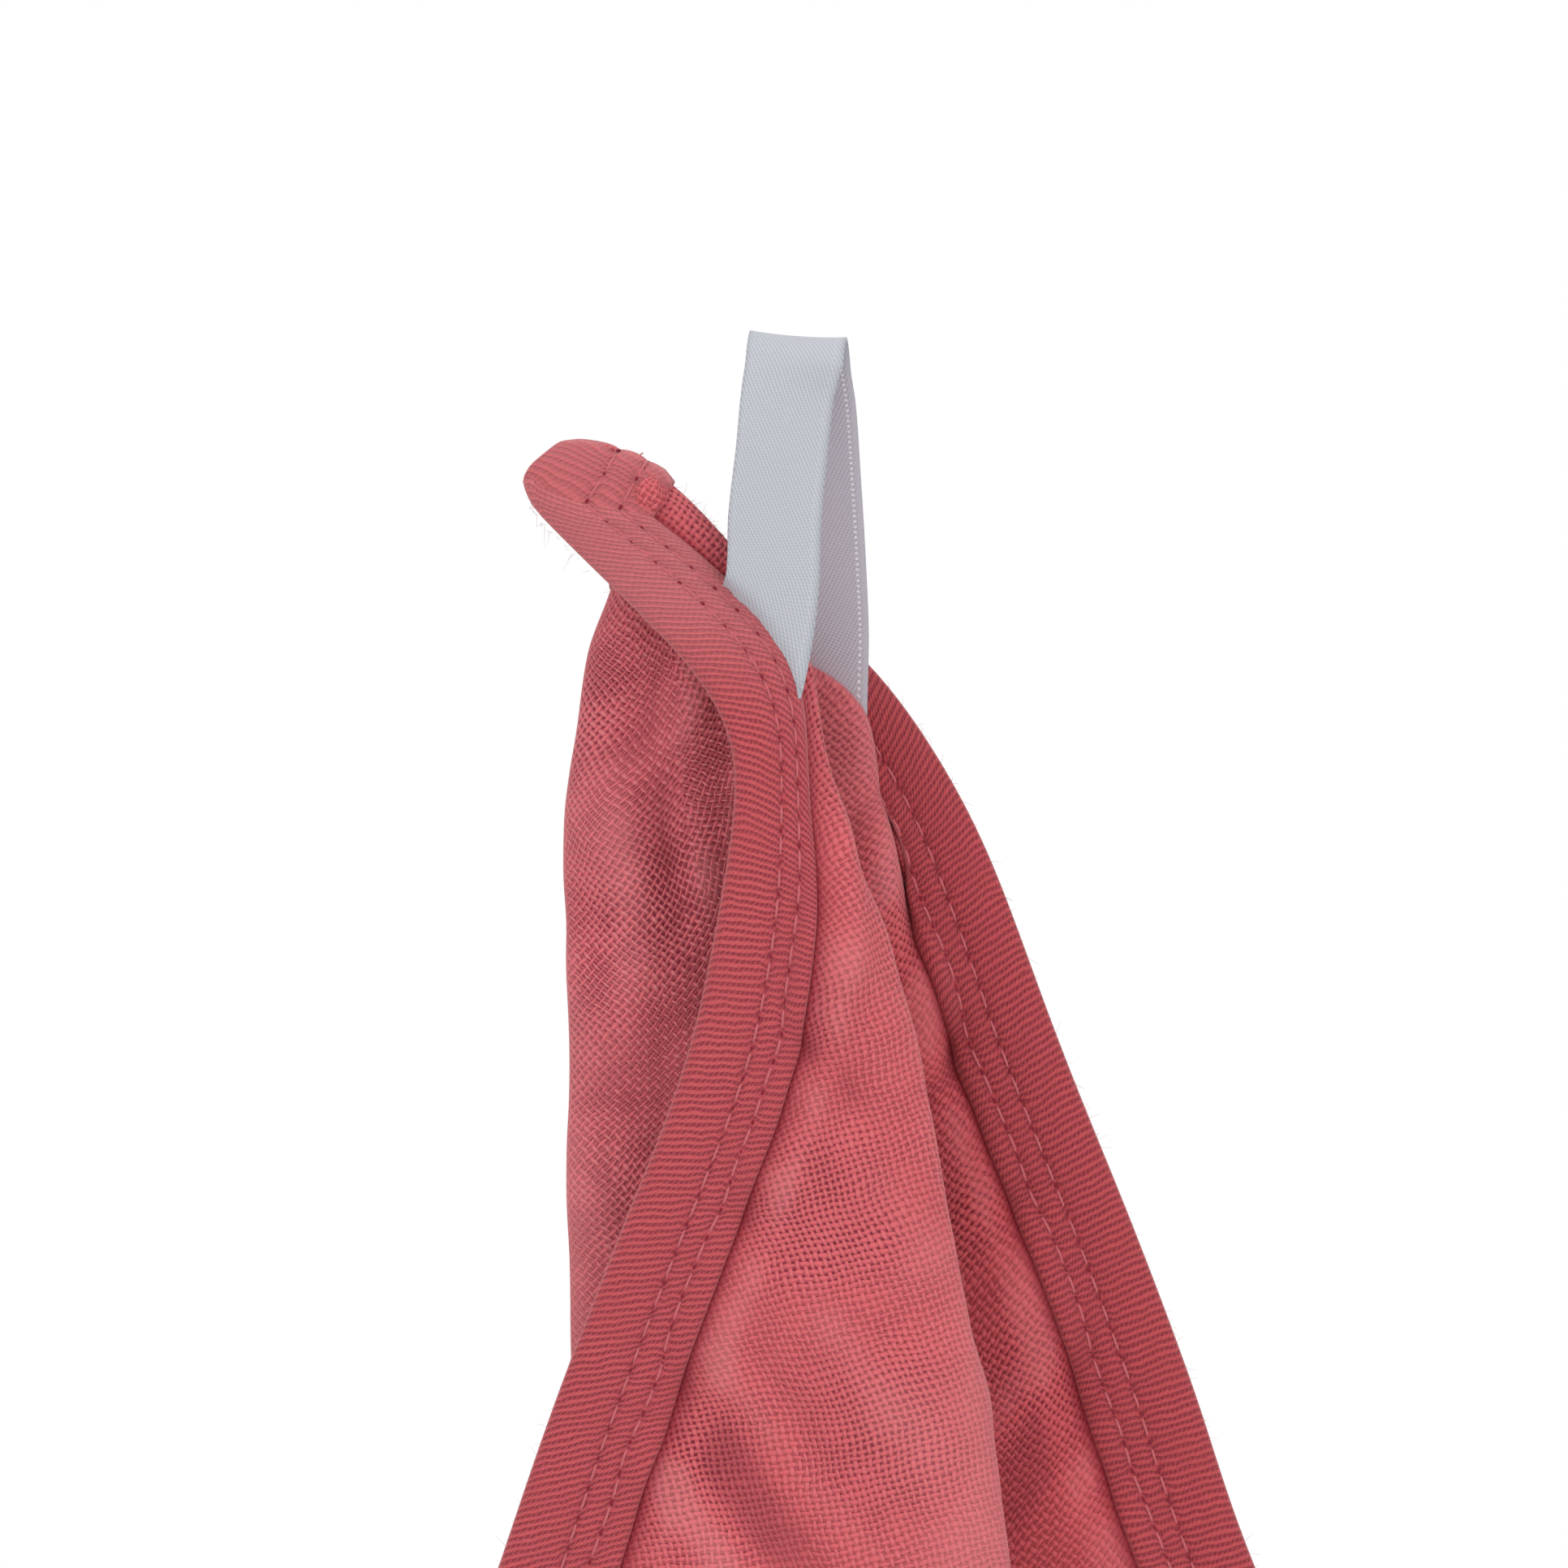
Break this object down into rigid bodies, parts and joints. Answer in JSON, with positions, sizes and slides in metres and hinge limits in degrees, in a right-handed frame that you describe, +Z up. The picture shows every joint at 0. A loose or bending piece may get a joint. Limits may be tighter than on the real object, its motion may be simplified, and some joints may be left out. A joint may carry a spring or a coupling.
{
  "type": "muslin kerchief bib",
  "caption": "Gauze kerchief bib with a bound edge and touch-closure pads on its neck tabs, hanging in folds from a ribbon loop.",
  "frame": {"origin": "inside of the ribbon loop's top, the point that rests on a hook", "axes": "+Z up, against the hang; -Y towards the viewer of the bib's front layer; +X to the viewer's right"},
  "size_m": [0.1372, 0.0289, 0.366],
  "materials": {
    "muslin": "crinkled double gauze",
    "jersey": "fine ribbed knit",
    "thread": "smooth sewing thread",
    "ribbon": "satin twill",
    "touch_hooks": "moulded micro-hooks",
    "touch_loops": "napped loops"
  },
  "bodies": {
    "loop": {"hanger_ribbon": "ribbon"},
    "cloth": {"front_gauze_panel": "muslin", "back_gauze_panel": "muslin", "jersey_binding": "jersey", "outer_needle_thread": "thread", "inner_needle_thread": "thread", "cover_thread": "thread", "hook_pad": "touch_hooks", "loop_pad": "touch_loops", "hook_pad_thread": "thread", "loop_pad_thread": "thread"}
  },
  "joints": [
    {"name": "cloth_swing", "type": "hinge", "parent": "loop", "child": "cloth", "pos_m": [0.0012, 0, -0.0322], "axis": [0, 1, 0], "range_deg": [-8, 8]}
  ]
}
